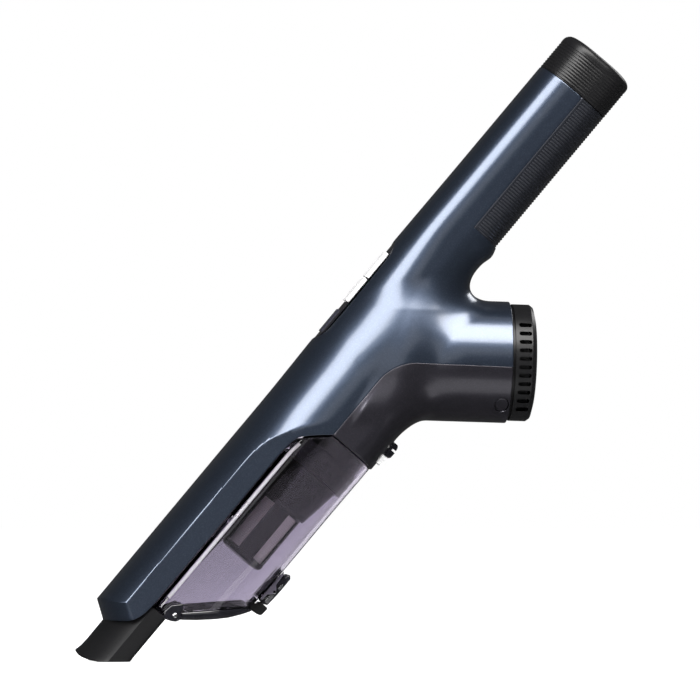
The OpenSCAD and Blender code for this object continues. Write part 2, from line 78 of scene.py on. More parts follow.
def new_material(name, base, rough=0.4, metallic=0.0, vary=0.15, grain=400.0, bump=0.05, bump_mm=0.05,
                 rough_vary=0.06, coat=0.0, coat_rough=0.05, spec=0.5, transmission=0.0, ior=1.45,
                 alpha=1.0, sheen=0.0, fine=None, fine_scale=4000.0, fine_amount=0.0, stretch=(1, 1, 1)):
    m = bpy.data.materials.new(name)
    m.use_nodes = True
    nt = m.node_tree
    n, l = nt.nodes, nt.links
    n.clear()
    out = n.new("ShaderNodeOutputMaterial")
    b = n.new("ShaderNodeBsdfPrincipled")
    l.new(b.outputs[0], out.inputs[0])
    b.inputs["Metallic"].default_value = metallic
    b.inputs["Specular IOR Level"].default_value = spec
    b.inputs["Coat Weight"].default_value = coat
    b.inputs["Coat Roughness"].default_value = coat_rough
    b.inputs["Transmission Weight"].default_value = transmission
    b.inputs["IOR"].default_value = ior
    b.inputs["Alpha"].default_value = alpha
    b.inputs["Sheen Weight"].default_value = sheen
    tc = n.new("ShaderNodeTexCoord")
    mp = n.new("ShaderNodeMapping")
    mp.inputs["Scale"].default_value = stretch
    l.new(tc.outputs["Object"], mp.inputs["Vector"])
    big = n.new("ShaderNodeTexNoise")
    big.inputs["Scale"].default_value = 18.0
    big.inputs["Detail"].default_value = 4.0
    small = n.new("ShaderNodeTexNoise")
    small.inputs["Scale"].default_value = grain
    small.inputs["Detail"].default_value = 5.0
    small.inputs["Roughness"].default_value = 0.65
    l.new(mp.outputs[0], big.inputs["Vector"])
    l.new(mp.outputs[0], small.inputs["Vector"])
    both = n.new("ShaderNodeMath")
    both.operation = "ADD"
    l.new(big.outputs["Fac"], both.inputs[0])
    l.new(small.outputs["Fac"], both.inputs[1])
    half = n.new("ShaderNodeMath")
    half.operation = "MULTIPLY"
    half.inputs[1].default_value = 0.5
    l.new(both.outputs[0], half.inputs[0])
    cr = n.new("ShaderNodeValToRGB")
    cr.color_ramp.elements[0].position = 0.35
    cr.color_ramp.elements[1].position = 0.65
    cr.color_ramp.elements[0].color = ramp_color(base, 1 - vary)
    cr.color_ramp.elements[1].color = ramp_color(base, 1 + vary)
    l.new(half.outputs[0], cr.inputs["Fac"])
    colour = cr.outputs["Color"]
    if fine is not None:
        vo = n.new("ShaderNodeTexVoronoi")
        vo.inputs["Scale"].default_value = fine_scale
        l.new(mp.outputs[0], vo.inputs["Vector"])
        fr = n.new("ShaderNodeValToRGB")
        fr.color_ramp.elements[0].position = 0.55
        fr.color_ramp.elements[1].position = 1.0
        fr.color_ramp.elements[0].color = (0, 0, 0, 1)
        fr.color_ramp.elements[1].color = (fine_amount, fine_amount, fine_amount, 1)
        sep = n.new("ShaderNodeSeparateColor")
        l.new(vo.outputs["Color"], sep.inputs[0])
        l.new(sep.outputs[0], fr.inputs["Fac"])
        mx = n.new("ShaderNodeMix")
        mx.data_type = "RGBA"
        l.new(fr.outputs["Color"], mx.inputs[0])
        l.new(colour, mx.inputs[6])
        mx.inputs[7].default_value = (*fine, 1)
        colour = mx.outputs[2]
    l.new(colour, b.inputs["Base Color"])
    mr = n.new("ShaderNodeMapRange")
    mr.inputs["From Min"].default_value = 0.3
    mr.inputs["From Max"].default_value = 0.7
    mr.inputs["To Min"].default_value = max(rough - rough_vary, 0.01)
    mr.inputs["To Max"].default_value = min(rough + rough_vary, 1)
    l.new(half.outputs[0], mr.inputs["Value"])
    l.new(mr.outputs[0], b.inputs["Roughness"])
    if bump > 0:
        bp = n.new("ShaderNodeBump")
        bp.inputs["Strength"].default_value = bump
        bp.inputs["Distance"].default_value = bump_mm * MM
        l.new(small.outputs["Fac"], bp.inputs["Height"])
        l.new(bp.outputs[0], b.inputs["Normal"])
    return m


MAT = {
    "casing_paint": new_material("casing_paint", (0.037, 0.050, 0.078), rough=0.31, metallic=0.9, vary=0.04,
                                 grain=700, bump=0.006, rough_vary=0.02, coat=1.0, coat_rough=0.17,
                                 fine=(0.11, 0.14, 0.19), fine_scale=2600, fine_amount=0.14),
    "lower_paint": new_material("lower_paint", (0.036, 0.034, 0.044), rough=0.33, metallic=0.88, vary=0.04,
                                grain=700, bump=0.006, rough_vary=0.02, coat=0.75, coat_rough=0.2,
                                fine=(0.10, 0.09, 0.12), fine_scale=2600, fine_amount=0.14),
    "grip": new_material("grip", (0.034, 0.037, 0.048), rough=0.33, metallic=0.85, vary=0.08, grain=1500,
                         bump=0.04, coat=0.7, coat_rough=0.16),
    "black_satin": new_material("black_satin", (0.0045, 0.0045, 0.0050), rough=0.33, vary=0.2, grain=1600,
                                bump=0.06, bump_mm=0.04, spec=0.3),
    "black_gloss": new_material("black_gloss", (0.006, 0.006, 0.008), rough=0.12, vary=0.15, grain=600,
                                bump=0.02, coat=0.6, coat_rough=0.03),
    "inner_plastic": new_material("inner_plastic", (0.022, 0.021, 0.026), rough=0.5, vary=0.15, grain=1200,
                                  bump=0.1),
    "button_silver": new_material("button_silver", (0.92, 0.92, 0.93), rough=0.28, metallic=0.12, vary=0.03,
                                  grain=900, bump=0.0, coat=0.3),
    "lens": new_material("lens", (0.02, 0.02, 0.03), rough=0.06, vary=0.1, grain=500, bump=0.01, coat=1.0,
                         coat_rough=0.02),
    "board": new_material("board", (0.02, 0.16, 0.07), rough=0.35, vary=0.2, grain=700, bump=0.1),
    "seal_rubber": new_material("seal_rubber", (0.012, 0.012, 0.013), rough=0.7, vary=0.2, grain=1800,
                                bump=0.2),
    "steel": new_material("steel", (0.62, 0.62, 0.64), rough=0.22, metallic=1.0, vary=0.08, grain=900,
                          bump=0.05, stretch=(1, 8, 1)),
    "motor_metal": new_material("motor_metal", (0.46, 0.46, 0.48), rough=0.34, metallic=1.0, vary=0.1,
                                grain=800, bump=0.08),
    "copper": new_material("copper", (0.70, 0.30, 0.14), rough=0.3, metallic=1.0, vary=0.15, grain=1500,
                           bump=0.2, stretch=(1, 1, 6)),
    "filter_media": new_material("filter_media", (0.78, 0.77, 0.72), rough=0.9, vary=0.08, grain=2500,
                                 bump=0.4, sheen=0.2),
    "smoke_clear": new_material("smoke_clear", (0.47, 0.44, 0.52), rough=0.03, vary=0.02, grain=120,
                                bump=0.01, transmission=1.0, ior=1.46, rough_vary=0.012),
    "shroud_plastic": new_material("shroud_plastic", (0.010, 0.009, 0.012), rough=0.35, vary=0.15,
                                   grain=1200, bump=0.06, spec=0.3),
    "mesh_steel": new_material("mesh_steel", (0.90, 0.84, 0.78), rough=0.40, metallic=0.55, vary=0.12,
                               grain=2500, bump=0.1),
    # pale half-clear plastic for the strips on the cup's front corners: a painted highlight
    "clear_edge": new_material("clear_edge", (0.60, 0.57, 0.63), rough=0.30, vary=0.05, grain=300,
                               bump=0.01, transmission=0.8, coat=0.2, coat_rough=0.15),
    "cell_wrap": new_material("cell_wrap", (0.06, 0.22, 0.34), rough=0.25, vary=0.08, grain=400, bump=0.03,
                              coat=0.3),
    "wire": new_material("wire", (0.45, 0.03, 0.03), rough=0.35, vary=0.1, grain=800, bump=0.05),
    "dark_clear": new_material("dark_clear", (0.05, 0.045, 0.06), rough=0.08, vary=0.1, grain=300,
                               bump=0.01, coat=0.8, coat_rough=0.02),
}
NODE_SLOT = {
    "inlet_duct": "inner_plastic", "inlet_flap": "seal_rubber", "duct_screws": "steel",
    "control_bezel": "black_gloss", "power_button": "button_silver", "mode_button": "button_silver",
    "indicator_lens": "lens", "control_board": "board", "button_switches": "inner_plastic",
    "air_bulkhead": "inner_plastic", "bulkhead_seal": "seal_rubber", "motor_can": "motor_metal",
    "motor_mount": "seal_rubber", "motor_stator": "copper", "motor_bearings": "steel",
    "motor_shaft": "steel", "rotor_magnet": "motor_metal", "impeller": "motor_metal",
    # exhaust_filter gets dark rubber: a painted shade for the insides of the exhaust's slots
    "fan_housing": "inner_plastic", "exhaust_filter": "seal_rubber", "exhaust_cap": "black_satin",
    "release_button": "black_gloss", "release_spring": "steel", "dust_cup": "smoke_clear",
    "filter_frame": "shroud_plastic", "filter_seals": "seal_rubber", "pleated_filter": "filter_media",
    "shroud": "shroud_plastic", "mesh_screen": "mesh_steel", "cup_door": "black_gloss",
    "door_seal": "seal_rubber", "door_hinge_pin": "steel", "door_latch": "black_gloss",
    "latch_pin": "steel", "latch_spring": "steel", "battery_bay": "inner_plastic",
    "contact_block": "inner_plastic", "battery_case": "inner_plastic", "battery_cells": "cell_wrap",
    "battery_terminals": "copper", "battery_cap": "black_satin", "wiring": "wire",
    "front_shell": "casing_paint", "rear_shell": "casing_paint", "motor_shell": "lower_paint",
    "grip_panel": "grip", "nozzle": "black_satin",
}
for name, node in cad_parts.items():
    node.data.materials.clear()
    node.data.materials.append(MAT[NODE_SLOT[name]])
    node.data.polygons.foreach_set("use_smooth", [True] * len(node.data.polygons))
    if len(node.data.edges):
        node.data.set_sharp_from_angle(angle=math.radians(28))


# ------------------------------------------------------------------ mesh helpers
def make_piece(name, verts, faces, body, slot, replaces=(), materials=None, sharp=None, placed=False):
    """A piece from millimetres in the wand frame, or in the part's frame when it is placed."""
    co = np.asarray(verts, float)
    co = (co if placed else to_part(co)) * MM
    me = bpy.data.meshes.new(name)
    me.from_pydata(co.tolist(), [], [list(map(int, f)) for f in faces])
    me.update()
    me.validate()
    bm = bmesh.new()
    bm.from_mesh(me)
    bmesh.ops.recalc_face_normals(bm, faces=bm.faces)
    bm.to_mesh(me)
    bm.free()
    for m in materials or [slot]:
        me.materials.append(MAT[m])
    me.polygons.foreach_set("use_smooth", [True] * len(me.polygons))
    if sharp is not None:
        me.set_sharp_from_angle(angle=math.radians(sharp))
    o = bpy.data.objects.new(name, me)
    bpy.context.scene.collection.objects.link(o)
    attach(o, body)
    if replaces:
        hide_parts(*replaces)
    return o


def solidify(o, thickness, inner=0):
    """Wall thickness inwards, with the material of slot number inner on the inside."""
    m = o.modifiers.new("wall", "SOLIDIFY")
    m.thickness = thickness * MM
    m.offset = -1
    m.use_even_offset = False
    m.material_offset = inner


def bevel(o, width, segments, angle):
    m = o.modifiers.new("edge", "BEVEL")
    m.width = width * MM
    m.segments = segments
    m.limit_method = "ANGLE"
    m.angle_limit = math.radians(angle)


bevel(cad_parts["exhaust_cap"], 0.35, 2, 35)


def circle(n):
    return np.arange(n) / n * 2 * math.pi


def level(loop, z):
    """Points of a loop of x and y at height z."""
    return np.column_stack([loop, np.broadcast_to(z, len(loop))])


def ring_faces(layers, n, closed=True, looped=False):
    """Quads between layers of n points. Layers are closed round; looped joins the last to the first."""
    return [[i * n + j, i * n + (j + 1) % n, (i + 1) % layers * n + (j + 1) % n, (i + 1) % layers * n + j]
            for i in range(layers if looped else layers - 1) for j in range(n if closed else n - 1)]


def ease(t):
    """A smooth step from 0 to 1."""
    t = np.clip(t, 0, 1)
    return t * t * (3 - 2 * t)


def catmull(points, steps=8, closed=False):
    p = np.array(points, float)
    out = []
    n = len(p)
    for i in range(n if closed else n - 1):
        near = range(i - 1, i + 3)
        a, b, c, d = (p[k % n] if closed else p[min(max(k, 0), n - 1)] for k in near)
        for t in np.arange(steps) / steps:
            out.append(0.5 * (2 * b + (c - a) * t + (2 * a - 5 * b + 4 * c - d) * t * t
                              + (3 * b - a - 3 * c + d) * t ** 3))
    if not closed:
        out.append(p[-1])
    return np.array(out)


def polygon_distance(points, x, z):
    """Signed distance to a polygon in the side view, negative inside."""
    p = np.array(points, float)
    q = np.roll(p, -1, 0)
    best = np.full(x.shape, 1e9)
    inside = np.zeros(x.shape, bool)
    for (ax, az), (bx, bz) in zip(p, q):
        ex, ez = bx - ax, bz - az
        t = np.clip(((x - ax) * ex + (z - az) * ez) / max(ex * ex + ez * ez, 1e-9), 0, 1)
        best = np.minimum(best, (x - ax - t * ex) ** 2 + (z - az - t * ez) ** 2)
        rise = bz - az if bz != az else 1e-9
        inside ^= ((az > z) != (bz > z)) & (x < ex * (z - az) / rise + ax)
    return np.where(inside, -1, 1) * np.sqrt(best)


# ------------------------------------------------------------------ the casing as one smooth form
FINE_Z = np.arange(0, 400.5, 0.5)


def smooth_columns(rows, sigma):
    """Each column of rows as a smooth curve over FINE_Z, rounded by sigma millimetres."""
    rows = np.array(rows, float)
    kernel = np.exp(-0.5 * (np.arange(-60, 61) * 0.5 / sigma) ** 2)
    kernel /= kernel.sum()
    out = []
    for k in range(1, rows.shape[1]):
        v = np.interp(FINE_Z, rows[:, 0], rows[:, k])
        out.append(np.convolve(np.pad(v, 60, "edge"), kernel, "valid"))
    return out


# z, front, start of the rear half, rear, half width, power of the rear half
WALLS = smooth_columns([
    [14, -19.75, 28, 43.8, 26.6, 2.6], [60, -19.7, 28, 43.8, 27.4, 2.6], [140, -19.75, 28, 43.8, 29.0, 2.6],
    [161, -19.85, 28, 43.8, 29.4, 2.6], [184, -20.3, 28, 43.8, 29.2, 2.6], [200, -20.6, 22, 41, 27.6, 2.5],
    [222, -20.6, 10, 28, 23.8, 2.4], [241, -20.5, 3, 20.8, 21.4, 2.4], [272, -20.3, 2, 20.6, 20.7, 2.5],
    [300, -20.1, 2, 20.6, 20.6, 2.5], [400, -20.0, 2, 20.6, 20.6, 2.5]], 6)
# z, roof's middle, how far the roof's ellipse is wider than the walls, power
ROOF = smooth_columns([
    [0, 14, 1.215, 2.3], [128, 14, 1.215, 2.3], [138, 14, 1.18, 2.2], [148, 13, 1.08, 2.1],
    [158, 12, 1.0, 2.05], [196, 12, 1.0, 2.0], [222, 7, 1.0, 2.1],
    [246, 2, 1.0, 2.3], [272, -2, 1.0, 2.5], [400, -2, 1.0, 2.5]], 5)
# raised lip under the grip
WALLS[2] += 1.5 * np.exp(-0.5 * ((FINE_Z - 281.5) / 3.0) ** 2)
# the motor's axis in the wand frame, and the pod round it
MOTOR_AT = (62.8, 246.9)
MOTOR_LEAN = math.radians(51.8)
MS, MC = math.sin(MOTOR_LEAN), math.cos(MOTOR_LEAN)
POD_RADIUS, POD_NOSE, POD_SHOULDER, POD_END = 30.4, 50, -24, -66
NOSE_REACH, NOSE_POWER = 16.2, 1.8


def ellipse_distance(u, v, reach, half, p):
    """Distance to a superellipse of power p, from u and v as shares of its two half axes."""
    u = np.maximum(u, 0)
    up, vp = u ** p, v ** p
    g = np.maximum((up + vp), 1e-12) ** (1 / p)
    gu = u ** (p - 1) * g ** (1 - p) / reach
    gv = v ** (p - 1) * g ** (1 - p) / half
    return (g - 1) / np.maximum(np.sqrt(gu * gu + gv * gv), 1e-6)


def motor_coords(x, z):
    """Distance along the motor's axis, and height below it."""
    dx, dz = x - MOTOR_AT[0], z - MOTOR_AT[1]
    return dx * MS + dz * MC, dx * MC - dz * MS


def wand_parts(x, y, z):
    """Signed distances to the wand's roof, and to its walls with the nose."""
    front, rmid, rear, half, rp = (np.interp(z, FINE_Z, c) for c in WALLS)
    mid, over, p = (np.interp(z, FINE_Z, c) for c in ROOF)
    ay = np.abs(y)
    roof = ellipse_distance((mid - x) / (mid - front), ay / (half * over), mid - front, half * over, p)
    draft = 0.03 * np.clip(30 - x, 0, 45) * np.clip((165 - z) / 30, 0, 1)
    wall = ellipse_distance((x - rmid) / (rear - rmid), (ay + draft) / half, rear - rmid, half, rp)
    part_x = AXIS_X + z * CT + x * ST
    part_z = z * ST - x * CT
    along = part_x + 5.2 - (30.6 - part_z) * 0.288
    nose = ellipse_distance((NOSE_REACH - along) / NOSE_REACH, ay / half, NOSE_REACH, half, NOSE_POWER)
    return roof, np.maximum(wall, np.where(z < 60, nose, -50))


def casing(x, y, z):
    """Signed distance to wand and pod, joined by a round fillet of radius k.

    The pod is a capsule above its axis and a plain cylinder below it. The fillet is tighter on the
    back of the wand than on its flanks.
    """
    wand = np.maximum(*wand_parts(x, y, z))
    d, h = motor_coords(x, z)
    rho = np.sqrt(h * h + y * y)
    capsule = ellipse_distance((POD_SHOULDER - d) / POD_NOSE, rho / POD_RADIUS, POD_NOSE, POD_RADIUS, 2)
    cylinder = np.maximum(rho - POD_RADIUS, POD_END - d)
    pod = capsule + ease((h / POD_RADIUS - 0.25) / 0.7) * (cylinder - capsule)
    middle = np.clip(12.2 - 3.2 * h / 30, 9.0, 15.5)
    flank = 15.5 + 3.5 * np.clip(-h / 25, 0, 1)
    k = middle + (flank - middle) * ease(np.abs(y) / 22)
    hollow = np.hypot(np.maximum(k - wand, 0), np.maximum(k - pod, 0))
    return np.maximum(k, np.minimum(wand, pod)) - hollow


def gradient(f, p, h=0.05):
    """Slope of f at each point, by central differences."""
    g = np.empty_like(p)
    for i in range(3):
        a, b = p.copy(), p.copy()
        a[:, i] += h
        b[:, i] -= h
        g[:, i] = (f(*a.T) - f(*b.T)) / (2 * h)
    return g


def project(f, p, rounds=3):
    """Moves the points onto f = 0."""
    for _ in range(rounds):
        g = gradient(f, p)
        p = p - (f(*p.T) / np.maximum((g * g).sum(1), 1e-6))[:, None] * g
    return p


def surface_net(f, lo, hi, step):
    """Triangles near f = 0 on a grid: one point for each cell that the surface crosses."""
    axes = [np.arange(a, b + step, step) for a, b in zip(lo, hi)]
    n = [len(a) for a in axes]
    X, Y, Z = np.meshgrid(*axes, indexing="ij")
    F = f(X.ravel(), Y.ravel(), Z.ravel()).reshape(n)
    s = F < 0
    cells = tuple(k - 1 for k in n)
    total = np.zeros(cells + (3,))
    count = np.zeros(cells)
    corner = [(i, j, k) for i in (0, 1) for j in (0, 1) for k in (0, 1)]

    def part(a, c):
        return a[c[0]:c[0] + cells[0], c[1]:c[1] + cells[1], c[2]:c[2] + cells[2]]

    for c in corner:
        for ax in range(3):
            if c[ax]:
                continue
            e = list(c)
            e[ax] = 1
            a, b = part(F, c), part(F, e)
            hit = part(s, c) != part(s, e)
            t = np.where(hit, a / np.where(hit, a - b, 1), 0)
            count += hit
            for k in range(3):
                total[..., k] += hit * (c[k] + (t if k == ax else 0))
    active = count > 0
    index = np.full(cells, -1)
    index[active] = np.arange(active.sum())
    base = np.stack(np.nonzero(active), 1)
    P = (base + total[active] / count[active][:, None]) * step + np.array([a[0] for a in axes])
    quads = []
    for ax in range(3):
        o = [k for k in range(3) if k != ax]
        a = np.take(s, range(0, n[ax] - 1), ax)
        b = np.take(s, range(1, n[ax]), ax)
        sl = [slice(None)] * 3
        sl[o[0]] = slice(1, n[o[0]] - 1)
        sl[o[1]] = slice(1, n[o[1]] - 1)
        hit = (a != b)[tuple(sl)]
        flip = a[tuple(sl)][hit]
        w = np.stack(np.nonzero(hit), 1)
        w[:, o[0]] += 1
        w[:, o[1]] += 1
        ids = []
        for da, db in ((0, 0), (1, 0), (1, 1), (0, 1)):
            q = w.copy()
            q[:, o[0]] -= da
            q[:, o[1]] -= db
            ids.append(index[q[:, 0], q[:, 1], q[:, 2]])
        q = np.stack(ids, 1)
        if ax == 1:
            flip = ~flip
        q[flip] = q[flip][:, ::-1]
        quads.append(q)
    Q = np.concatenate(quads)
    T = np.concatenate([Q[:, [0, 1, 2]], Q[:, [0, 2, 3]]])
    return P, T


def insert_line(P, T, g):
    """Splits the triangles along the line g = 0, with g given at the points."""
    g = np.where(np.abs(g) < 1e-4, 1e-4, g)
    pos = g > 0
    k = pos[T].sum(1)
    whole = T[(k == 0) | (k == 3)]
    mixed = T[(k == 1) | (k == 2)]
    if not len(mixed):
        return P, T
    single = pos[mixed] == (pos[mixed].sum(1) == 1)[:, None]
    at = single.argmax(1)
    r = np.arange(len(mixed))
    a, b, c = mixed[r, at], mixed[r, (at + 1) % 3], mixed[r, (at + 2) % 3]
    e = np.concatenate([np.stack([a, b], 1), np.stack([a, c], 1)])
    es = np.sort(e, 1)
    key, inv = np.unique(es, axis=0, return_inverse=True)
    inv = inv.ravel()
    t = g[key[:, 0]] / (g[key[:, 0]] - g[key[:, 1]])
    extra = P[key[:, 0]] + t[:, None] * (P[key[:, 1]] - P[key[:, 0]])
    ab, ac = inv[:len(mixed)] + len(P), inv[len(mixed):] + len(P)
    split = [np.stack([a, ab, ac], 1), np.stack([ab, b, c], 1), np.stack([ab, c, ac], 1)]
    return np.concatenate([P, extra]), np.concatenate([whole, *split])


def compact(P, T):
    """Drops the points that no triangle uses."""
    used = np.unique(T)
    m = np.full(len(P), -1)
    m[used] = np.arange(len(used))
    return P[used], m[T]


def edge_depth(P):
    """How deep an edge is rounded: less along the seam between the shells, and least at the grip."""
    x, z = P[:, 0], P[:, 2]
    seam = (z > 163) & (x > 14) & (motor_coords(x, z)[0] < -3)
    grip_edge = (z > 283) & (z < 369) & (x > 0)
    return np.where(grip_edge, 0.02, np.where(seam, 0.07, 0.16))


def clip_piece(P, T, field, gap=0.03, edge=0.5, deep=None):
    """Keeps the mesh where field < -gap, and rounds its edge over the width edge."""
    P, T = compact(P, T[(field(P) < 6)[T].any(1)])
    for level in (-gap, -gap - 0.16, -gap - edge):
        P, T = insert_line(P, T, field(P) - level)
    g = field(P)
    keep = (g[T].mean(1) < -gap) & (g[T].max(1) < -gap + 0.05)
    P, T = compact(P, T[keep])
    g = field(P)
    n = gradient(casing, P)
    n /= np.linalg.norm(n, axis=1)[:, None]
    t = np.clip((-g - gap) / edge, 0, 1)
    drop = (edge_depth(P) if deep is None else deep) * (1 - np.sqrt(np.clip(1 - (1 - t) ** 2, 0, 1)))
    return P - n * drop[:, None], T


NET_STEP = 1.0
CREASE_END = 150


def casing_mesh():
    """The whole casing as triangles, with a crisp crease between roof and skirt below the arch."""
    P, T = surface_net(casing, (-24, -34, 8), (84, 34, 378), NET_STEP)
    P = project(casing, P)
    roof, wall = wand_parts(*P.T)
    before = len(P)
    P, T = insert_line(P, T, np.where(P[:, 2] < CREASE_END, roof - wall, -1))
    roof, wall = wand_parts(*P.T)
    on_crease = (np.abs(roof - wall) < 0.35) & (P[:, 2] < CREASE_END - 1) & (np.arange(len(P)) >= before)
    start = P[on_crease]
    moved = start
    for _ in range(6):
        for part in (0, 1):
            moved = project(lambda x, y, z: wand_parts(x, y, z)[part], moved, 1)
    strayed = np.linalg.norm(moved - start, axis=1) > 0.8
    moved[strayed] = start[strayed]
    P[on_crease] = moved
    return P, T


# side-view outlines of the shells, in the wand frame
ARCH = catmull([[2, 136], [2.15, 139.6], [2.75, 145], [4.1, 149], [7.2, 152.6], [11.4, 156.7],
                [16.4, 161]], 5)
MOTOR_SEAM = np.vstack([[[16.4, 161], [16.4, 178], [16.4, 188]],
                        catmull([[16.4, 194], [16.6, 199.5], [18.1, 205], [20.4, 209.6], [24.2, 214.2],
                                 [30, 218.7]], 5), [[66.2, 246.6], [110, 280.5]]])
CHIN = catmull([[-3.4, 23.65], [-2.0, 25.0], [-0.5, 27.2], [0.8, 30.4], [1.6, 34], [2, 38]], 5)
GRIP_X, GRIP_START, GRIP_END = 4.4, 285.9, 370.5
UPPER_OUTLINE = np.vstack([[[-40, -7.07]], CHIN, ARCH, MOTOR_SEAM[1:],
                           [[110, GRIP_START], [GRIP_X, GRIP_START], [GRIP_X, GRIP_END], [-40, GRIP_END]]])
MOTOR_OUTLINE = np.vstack([MOTOR_SEAM, [[110, 161]]])
PANEL_Z, PANEL_HALF = (192.5, 257.0), 10.8
PLUG_AT = to_wand([195.4, 0, 127.5])[[0, 2]]
PLUG_R = 3.5
CASING_WALL = 1.9
OUTSIDE = -20


def open_end(P):
    return np.where(P[:, 0] > 24, motor_coords(P[:, 0], P[:, 2])[0] + 1.0, OUTSIDE)


def panel_hole(P):
    z = np.clip(P[:, 2], PANEL_Z[0] + PANEL_HALF, PANEL_Z[1] - PANEL_HALF)
    d = np.sqrt(P[:, 1] ** 2 + (P[:, 2] - z) ** 2)
    return np.where(P[:, 0] < -2, PANEL_HALF - d, OUTSIDE)


def release_hole(P):
    dy, dz = np.abs(P[:, 1]) - 8.2, np.abs(P[:, 2] - 172.5) - 6.7
    return np.where(P[:, 0] > 34, -np.maximum(dy, dz), OUTSIDE)


def plug_hole(P):
    return PLUG_R - np.hypot(P[:, 0] - PLUG_AT[0], P[:, 2] - PLUG_AT[1])


def upper_field(P):
    outline = polygon_distance(UPPER_OUTLINE, P[:, 0], P[:, 2])
    return np.maximum.reduce([outline, panel_hole(P), open_end(P)])


def motor_field(P):
    outline = polygon_distance(MOTOR_OUTLINE, P[:, 0], P[:, 2])
    return np.maximum.reduce([outline, open_end(P), release_hole(P), plug_hole(P)])


def plug_field(P):
    return np.maximum(0.16 - plug_hole(P), open_end(P))


def casing_piece(name, field, slot, nodes):
    V, T = clip_piece(CASING_V, CASING_T, field)
    piece = make_piece(name, V, T, "main", slot, nodes, [slot, "inner_plastic"])
    solidify(piece, CASING_WALL, 1)


def pod_plugs():
    """Round plugs in both sides of the pod, sunk a little into it."""
    V, T = clip_piece(CASING_V, CASING_T, plug_field, gap=0.05, edge=0.6, deep=0.3)
    n = gradient(casing, V)
    V = V - n / np.linalg.norm(n, axis=1)[:, None] * 0.25
    piece = make_piece("pod_plugs", V, T, "main", "lower_paint", (), ["lower_paint", "inner_plastic"])
    solidify(piece, 1.2, 1)


CASING_V, CASING_T = casing_mesh()
casing_piece("casing_upper", upper_field, "casing_paint", ["front_shell", "rear_shell"])
casing_piece("casing_motor", motor_field, "lower_paint", ["motor_shell"])
pod_plugs()

# ------------------------------------------------------------------ ribbed grip and battery cap
HANDLE_HALF, HANDLE_FRONT, HANDLE_FLAT, HANDLE_POWER = 20.6, 20.05, 2, 2.5
RIB_PITCH, ROWS_PER_RIB = 1.55, 8
CAP_Z, CAP_TOP, CAP_RIBS_END, CAP_ROOF = 370.8, 392.6, 388.4, 391.4
SOCKET_R = 11.3
# height and inset of the cap's rounded top
CAP_ROUND = [(389.6, 0.12), (390.5, 0.45), (391.2, 0.95), (391.75, 1.6), (392.1, 2.4), (392.35, 3.6),
             (392.5, 6.5), (392.58, 11)]


def handle_outline(angles, inset):
    """The handle's section: two half superellipses with a short flat side between them."""
    c, s = np.cos(angles), np.sin(angles)
    cx = np.abs(c) ** (2 / HANDLE_POWER) * np.sign(c)
    sy = np.abs(s) ** (2 / HANDLE_POWER) * np.sign(s)
    rear = HANDLE_FLAT + (HANDLE_HALF - HANDLE_FLAT - inset) * cx
    front = -HANDLE_FLAT + (HANDLE_FRONT - HANDLE_FLAT - inset) * cx
    return np.where(c > 0, rear, front), (HANDLE_HALF - inset) * sy


def rib_wave(z, start):
    """1 on a rib's crest and 0 in the groove, with the first groove at start."""
    return (0.5 - 0.5 * math.cos(2 * math.pi * (z - start) / RIB_PITCH)) ** 0.7


def grip_sleeve():
    zs = np.arange(GRIP_START + 0.07, GRIP_END - 0.1, RIB_PITCH / ROWS_PER_RIB)
    angles = np.linspace(-1, 1, 121)
    angles = np.sign(angles) * np.abs(angles) ** 0.85 * 1.56
    angles = angles[handle_outline(angles, 0.0)[0] > GRIP_X - 1]
    x = handle_outline(angles, 0.0)[0]
    fade = ease((x - 5.0) / 2.2)
    tuck = 0.3 * np.clip((4.5 - x) / 0.2, 0, 1)
    layers = []
    for z in zs:
        ends = min(1, (z - zs[0]) / 0.5, (zs[-1] - z) / 0.5)
        inset = 0.42 * fade * (1 - rib_wave(z, zs[0])) * ends + 0.02 + tuck
        layers.append(level(np.column_stack(handle_outline(angles, inset)), z))
    piece = make_piece("grip_sleeve", np.concatenate(layers), ring_faces(len(zs), len(angles), closed=False),
                       "main", "grip", ["grip_panel"], ["grip", "inner_plastic"])
    solidify(piece, 0.8, 1)


def end_cap():
    """The ribbed cap, with a round socket for the battery's case in its under face."""
    round_z, round_inset = zip(*CAP_ROUND)
    ribs = np.arange(CAP_Z, CAP_RIBS_END, RIB_PITCH / ROWS_PER_RIB)
    zs = np.concatenate([ribs, [CAP_RIBS_END + 0.2], round_z])
    insets = np.interp(zs, [CAP_Z, CAP_Z + 0.25, CAP_RIBS_END, *round_z], [0.25, 0.0, 0.0, *round_inset])
    angles = circle(144)
    n = len(angles)
    layers = []
    for z, inset in zip(zs, insets):
        ends = min(1, max(0, (CAP_RIBS_END - 0.2 - z) / 0.8)) * min(1, (z - CAP_Z) / 0.3)
        groove = 0.34 * (1 - rib_wave(z, CAP_Z + 0.3)) * ends
        x, y = handle_outline(angles, inset + groove)
        x = np.where(x > 0, x - 0.5 * np.clip(inset, 0, 3) * np.clip(x / 20, 0, 1), x)
        layers.append(level(np.column_stack([x, y]), z))
    socket = SOCKET_R * np.column_stack([np.cos(angles), np.sin(angles)])
    verts = np.vstack([*layers, [[0, 0, CAP_TOP]], level(socket, CAP_Z), level(socket, CAP_ROOF),
                       [[0, 0, CAP_ROOF]]])
    faces = ring_faces(len(zs), n)
    crown = len(zs) * n
    under, roof = crown + 1, len(verts) - 1
    for j in range(n):
        k = (j + 1) % n
        faces.append([crown - n + j, crown - n + k, crown])
        faces.append([j, under + j, under + k, k])
        faces.append([under + j, under + n + j, under + n + k, under + k])
        faces.append([under + n + j, roof, under + n + k])
    make_piece("end_cap", verts, faces, "battery", "black_satin", ["battery_cap"], sharp=50)


grip_sleeve()
end_cap()

# ------------------------------------------------------------------ nozzle
MOUTH_HALF, NOZZLE_REAR, NOZZLE_TOP, NOZZLE_WALL = 24.5, 11.4, 37.6, 2.0
BOW_REAR, BOW_EDGE = 2.8, math.radians(38.3)
FLARE = 0.95


